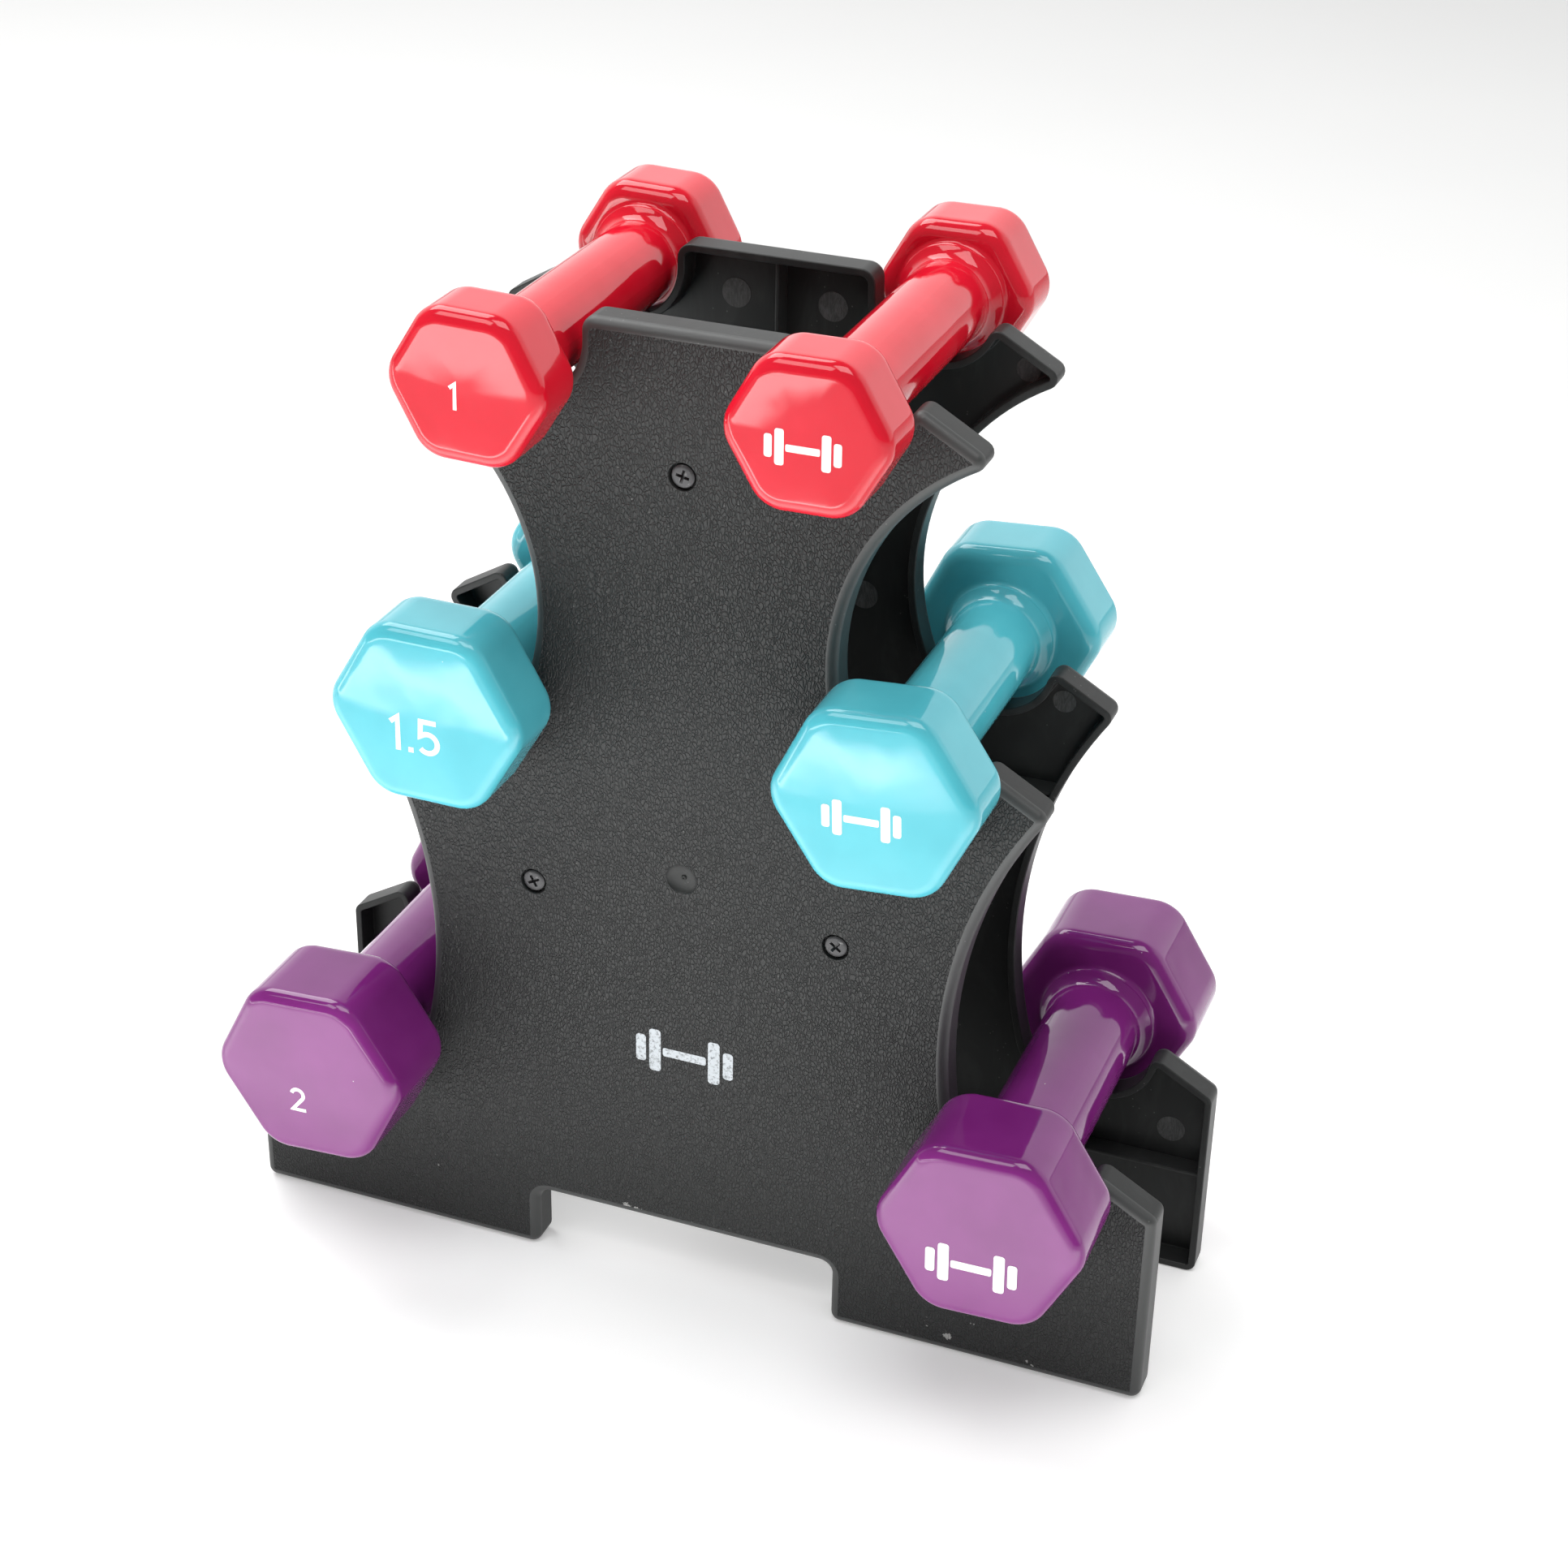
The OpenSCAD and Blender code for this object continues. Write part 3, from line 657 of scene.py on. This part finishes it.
def prism(outline_points):
    """Vertices and faces of a thin solid from a closed outline, along z."""
    return loft([[(x, y, -PRINT_IN) for x, y in outline_points],
                 [(x, y, PRINT_OUT) for x, y in outline_points]])


def stroke(points, width):
    """Closed outline of a line of that width through the points."""
    left, right = [], []
    for i, (x, y) in enumerate(points):
        ax, ay = points[max(i - 1, 0)]
        bx, by = points[min(i + 1, len(points) - 1)]
        into = Vector((x - ax, y - ay)).normalized() if i else Vector((bx - x, by - y)).normalized()
        away = Vector((bx - x, by - y)).normalized() if i < len(points) - 1 else into
        along = (into + away).normalized()
        reach = width / 2 / max(along.dot(into), 0.5)
        left.append((x - along.y * reach, y + along.x * reach))
        right.append((x + along.y * reach, y - along.x * reach))
    return left + right[::-1]


def digit(sign):
    """Centre lines of a plain digit one unit high."""
    return {
        "1": [[(-0.17, 0.27), (0.03, 0.43), (0.03, -0.50)]],
        "2": [arc((0.0, 0.20), 0.235, 165, -38, 14) + [(-0.235, -0.43), (0.29, -0.43)]],
        "5": [[(0.24, 0.43), (-0.185, 0.43), (-0.205, 0.02)]
              + arc((0.0, -0.165), 0.265, 118, -140, 16)],
        ".": [[(0.0, -0.50), (0.0, -0.36)]],
    }[sign]


def numeral(text, height):
    """Outlines of a number, centred."""
    steps = {".": 0.30, "1": 0.46}
    widths = [steps.get(c, 0.66) for c in text]
    at, outlines = -sum(widths) / 2, []
    for sign, width in zip(text, widths):
        for line in digit(sign):
            moved = [((x + at + width / 2) * height, y * height) for x, y in line]
            outlines.append(stroke(moved, 0.14 * height))
        at += width
    return outlines


def rounded_bar(cx, cy, w, h, r):
    points = []
    for sx, sy, start in ((1, 1, 0), (-1, 1, 90), (-1, -1, 180), (1, -1, 270)):
        points += arc((cx + sx * (w / 2 - r), cy + sy * (h / 2 - r)), r, start, start + 90, 6)
    return points


def pictogram(width):
    """Outlines of a plain weight sign: a bar with two plates at each end."""
    u = width / 24
    return [rounded_bar(0, 0, 10.4 * u, 2.2 * u, 0.5 * u)] + [
        rounded_bar(s * x * u, 0, w * u, h * u, 0.8 * u)
        for s in (-1, 1) for x, w, h in ((7.1, 2.8, 11.0), (10.5, 2.4, 7.0))]


def printed(name, outlines, ink, body, place):
    """A print of separate thin solids, joined in one piece that rides on a body."""
    verts, faces = [], []
    for points in outlines:
        v, f = prism(points)
        faces += [tuple(i + len(verts) for i in face) for face in f]
        verts += v
    made = outward(new_object(name, verts, faces, [MAT[ink]]))
    made.data.transform(place)
    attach(made, body)


def build_marks():
    for colour, (text, height, spot_l, width, spot_r) in MARKS.items():
        pair = PAIRS[colour]
        for side, word, spot in ((-1, "left", spot_l), (1, "right", spot_r)):
            shift, roll = pair.lies[0 if side < 0 else 1]
            spot = Vector((side * pair.x + spot[0],
                           shift - pair.grip_len / 2 - pair.head_len + PRINT_OUT,
                           pair.z + spot[1]))
            place = (Matrix.Translation(spot * MM)
                     @ Matrix.Rotation(math.radians(90), 4, "X")
                     @ Matrix.Rotation(math.radians(roll * 0.6), 4, "Z"))
            outlines = numeral(text, height) if side < 0 else pictogram(width)
            kind = "numeral" if side < 0 else "sign"
            printed(f"weight_{kind}_{colour}", outlines, "white_ink",
                    f"dumbbell_{colour}_{word}", place)
    printed("panel_sign", pictogram(36.0), "silver_ink", "rack",
            Matrix.Translation(Vector((1.0, -HALF_DEPTH, 95.1)) * MM)
            @ Matrix.Rotation(math.radians(90), 4, "X"))


# --------------------------------------------------------------- carried CAD
def finish_cad_nodes():
    for name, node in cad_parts.items():
        if name.startswith(("core_", "spacer_")):
            node.data.materials.clear()
            node.data.materials.append(MAT["iron" if name.startswith("core_") else "spacer"])


# --------------------------------------------------------------- surrounding
FLOOR_GLOW, CLOSE_GLOW, WINDOW_GLOW = 0.30, 2.6, 6.0
ROOM_GLOW, WALL_GLOW = 0.22, 1.25
LIGHTS = (
    ("key_softbox", (-1.2, 0.5, 2.2), (0, 0, 0.15), 1.4, 1.4, 38),
    ("top_softbox", (0.5, -0.6, 2.4), (0, 0, 0.1), 1.6, 1.2, 28),
    ("front_softbox", (-0.85, -1.35, 2.1), (0, 0, 0.15), 1.1, 0.9, 13),
)


def build_stage():
    """Pale paper on the floor and an even room. Parts of the paper glow, in metres of X and Y."""
    s = Shader("studio_floor", Roughness=0.8)
    paper = s.blend(s.noise(3, 3), rgb(0.80, 0.80, 0.795), rgb(0.83, 0.83, 0.825))
    across = s.node("SeparateXYZ", out=0, Vector=s.where)
    depth = s.node("SeparateXYZ", out=1, Vector=s.where)

    def product(*factors):
        made = factors[0]
        for factor in factors[1:]:
            made = s.math("MULTIPLY", made, factor)
        return made

    # a window shines off the paper in two patches, far out at the left and nearer by
    far = product(product(s.span(across, -0.37, -0.31, 1.0, 0.0),
                          s.span(across, -1.6, -1.4, 0.0, 1.0)),
                  product(s.span(depth, -0.97, -0.88, 1.0, 0.0),
                          s.span(depth, -1.9, -1.7, 0.0, 1.0)))
    near = product(s.span(depth, -0.52, -0.455, 1.0, 0.0),
                   s.span(depth, -0.595, -0.55, 0.0, 1.0),
                   s.span(across, -0.06, 0.02, 1.2, 0.0))
    # the paper is overlit close in front of the object
    close = product(s.span(depth, -0.18, -0.10, 1.0, 0.0),
                    s.span(depth, -0.66, -0.56, 0.0, 1.0),
                    s.span(depth, -0.42, -0.26, 0.25, 1.0),
                    s.span(s.math("ABSOLUTE", across), 0.35, 0.70, 1.0, 0.0))
    glow = s.math("MULTIPLY_ADD", s.math("MAXIMUM", far, near), WINDOW_GLOW,
                  s.span(depth, 0.2, 0.9, FLOOR_GLOW, 0.0))
    glow = s.math("MULTIPLY_ADD", close, CLOSE_GLOW, glow)
    s.set(Base_Color=paper, Emission_Color=rgb(1, 1, 0.995), Emission_Strength=glow)
    rings = turned([(0.5, 0), (400, 0), (2500, 0), (9000, 0)], 96)
    floor = new_object("floor", *loft(rings, False), [s.material])
    floor.location.z = -0.0002

    world = bpy.data.worlds.new("studio")
    bpy.context.scene.world = world
    world.use_nodes = True
    nodes, links = world.node_tree.nodes, world.node_tree.links

    def calc(operation, a, b, clamp=False):
        made = nodes.new("ShaderNodeMath")
        made.operation, made.use_clamp = operation, clamp
        for socket, value in zip(made.inputs, (a, b)):
            if isinstance(value, bpy.types.NodeSocket):
                links.new(value, socket)
            else:
                socket.default_value = value
        return made.outputs[0]

    split = nodes.new("ShaderNodeSeparateXYZ")
    links.new(nodes.new("ShaderNodeTexCoord").outputs["Generated"], split.inputs[0])
    behind = calc("MULTIPLY", calc("ADD", split.outputs[1], 0.05), 3.2, True)
    overhead = calc("MULTIPLY", calc("SUBTRACT", split.outputs[2], 0.62), 5.0, True)
    wall = calc("MULTIPLY", behind, calc("SUBTRACT", 1.0, overhead))
    glow = calc("ADD", calc("MULTIPLY", wall, WALL_GLOW), ROOM_GLOW)
    links.new(glow, nodes["Background"].inputs[1])
    nodes["Background"].inputs[0].default_value = rgb(1, 1, 1)


def softbox(name, place, aim, width, height, power):
    lamp = bpy.data.lights.new(name, "AREA")
    lamp.shape, lamp.size, lamp.size_y, lamp.energy = "RECTANGLE", width, height, power
    made = bpy.data.objects.new(name, lamp)
    bpy.context.scene.collection.objects.link(made)
    made.location = place
    made.rotation_mode = "QUATERNION"
    made.rotation_quaternion = (Vector(aim) - Vector(place)).to_track_quat("-Z", "Y")


def build_camera():
    """The photograph's view: azimuth, elevation, roll and place of a fitted camera."""
    az, el, roll = (math.radians(a) for a in (20.706, 28.714, 1.159))
    back = Vector((math.sin(az) * math.cos(el), -math.cos(az) * math.cos(el), math.sin(el)))
    right = (-back).cross(Vector((0, 0, 1))).normalized()
    up = right.cross(-back)
    across = right * math.cos(roll) + up * math.sin(roll)
    upward = up * math.cos(roll) - right * math.sin(roll)
    lens = bpy.data.cameras.new("camera")
    lens.sensor_width, lens.lens = 36.0, 67.66
    lens.clip_start, lens.clip_end = 0.05, 50.0
    camera = bpy.data.objects.new("camera", lens)
    bpy.context.scene.collection.objects.link(camera)
    camera.matrix_world = Matrix((
        (across.x, upward.x, back.x, 0.32038), (across.y, upward.y, back.y, -0.79886),
        (across.z, upward.z, back.z, 0.64902), (0, 0, 0, 1)))
    bpy.context.scene.camera = camera


build_panels()
build_screws()
build_dumbbells()
build_marks()
finish_cad_nodes()
build_stage()
for light in LIGHTS:
    softbox(*light)
build_camera()
bpy.context.scene.view_settings.view_transform = "Standard"

bpy.context.view_layer.update()
